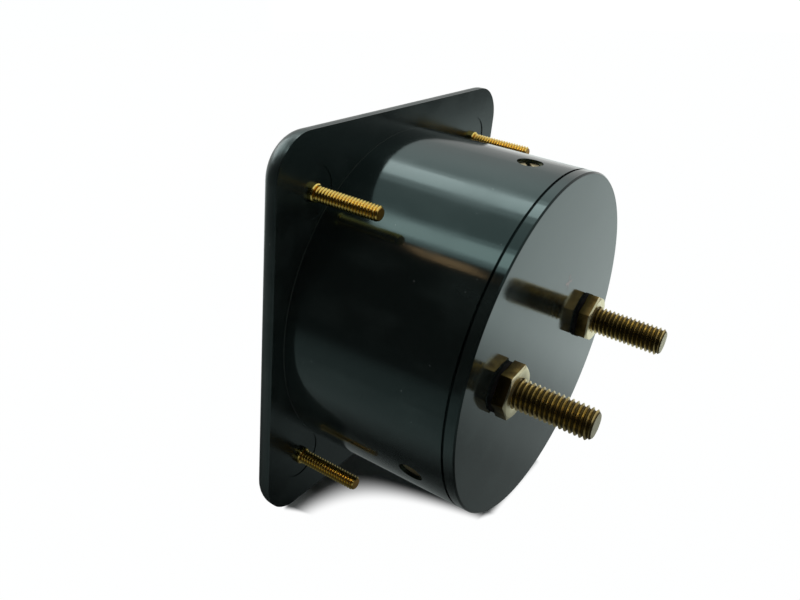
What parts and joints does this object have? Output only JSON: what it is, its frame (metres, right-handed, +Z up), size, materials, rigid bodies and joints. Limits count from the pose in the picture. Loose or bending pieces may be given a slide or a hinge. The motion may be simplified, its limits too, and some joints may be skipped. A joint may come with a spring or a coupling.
{
  "type": "analog_panel_meter",
  "caption": "Analog panel meter with a black moulded square flange and round barrel, gold mounting studs and terminals, and a pivoted moving-coil movement behind a D-shaped window.",
  "frame": {"origin": "Centre of the mounting-stud pattern on the back face of the flange, the face that sits on the panel.", "axes": "+X across the meter, to the right for someone facing the dial; +Y from the flange's back face into the panel, along the barrel and the terminals; +Z up the dial, from the zero adjuster towards the scale"},
  "size_m": [0.0762, 0.0595, 0.0794],
  "materials": {
    "phenolic": "glossy",
    "stud_brass": "machined",
    "glass": "polished",
    "gasket": "matt",
    "spring_steel": "drawn wire",
    "fibre": "matt",
    "soft_iron": "ground",
    "magnet_steel": "as cast",
    "dial_white": "matt",
    "coil_wire": "enamelled",
    "former": "sheet",
    "pointer_black": "matt",
    "terminal_brass": "tarnished",
    "tinned_brass": "tinned",
    "shunt_alloy": "sheet",
    "copper_wire": "drawn",
    "frame_brass": "sheet",
    "screw_steel": "turned",
    "pivot_steel": "polished",
    "hair_bronze": "rolled"
  },
  "bodies": {
    "housing": {"case": "phenolic", "window_gasket": "gasket", "window_glass": "glass", "glass_retainer": "spring_steel", "mounting_studs": "stud_brass", "rear_base": "phenolic", "case_screws": "stud_brass", "lug_inserts": "stud_brass", "terminal_stud_pos": "terminal_brass", "terminal_stud_neg": "terminal_brass", "terminal_nut_pos": "terminal_brass", "terminal_nut_neg": "terminal_brass", "terminal_washer_pos": "fibre", "terminal_washer_neg": "fibre", "solder_lug_pos": "tinned_brass", "solder_lug_neg": "tinned_brass", "shunt_strip": "shunt_alloy", "lead_pos": "copper_wire", "lead_neg": "copper_wire", "movement_frame": "frame_brass", "pillars": "frame_brass", "magnet": "magnet_steel", "pole_piece_left": "soft_iron", "pole_piece_right": "soft_iron", "core": "soft_iron", "core_bracket_top": "frame_brass", "core_bracket_bottom": "frame_brass", "core_screws": "frame_brass", "front_bridge": "frame_brass", "rear_bridge": "frame_brass", "front_bridge_screws": "screw_steel", "rear_bridge_screws": "screw_steel", "front_jewel_screw": "frame_brass", "rear_jewel_screw": "frame_brass", "front_lock_nut": "frame_brass", "rear_lock_nut": "frame_brass", "rear_spring_arm": "frame_brass", "dial_posts": "frame_brass", "dial_plate": "dial_white", "dial_screws": "screw_steel", "pointer_stops": "spring_steel"},
    "moving_coil": {"coil_former": "former", "coil_winding": "coil_wire", "front_pivot": "pivot_steel", "rear_pivot": "pivot_steel", "pointer": "pointer_black", "counterweights": "copper_wire", "front_hairspring": "hair_bronze", "rear_hairspring": "hair_bronze"},
    "zero_adjuster": {"zero_adjuster": "phenolic", "adjuster_clip": "spring_steel"},
    "zero_arm": {"zero_arm": "frame_brass"}
  },
  "joints": [
    {"name": "moving_coil_turn", "type": "hinge", "parent": "housing", "child": "moving_coil", "pos_m": [0, 0.014, -0.014], "axis": [0, 1, 0], "range_deg": [-2, 92], "stiffness_Nm_per_rad": 0.000002, "deforming": ["front_hairspring", "rear_hairspring"]},
    {"name": "zero_adjuster_turn", "type": "hinge", "parent": "housing", "child": "zero_adjuster", "pos_m": [0, -0.002, -0.0215], "axis": [0, 1, 0], "range_deg": [-60, 60]},
    {"name": "zero_arm_turn", "type": "hinge", "parent": "housing", "child": "zero_arm", "pos_m": [0, 0.003, -0.014], "axis": [0, 1, 0], "range_deg": [-9.4, 9.4]}
  ],
  "couplings": [
    {"joint": "zero_arm_turn", "follows": "zero_adjuster_turn", "ratio": 0.155}
  ]
}
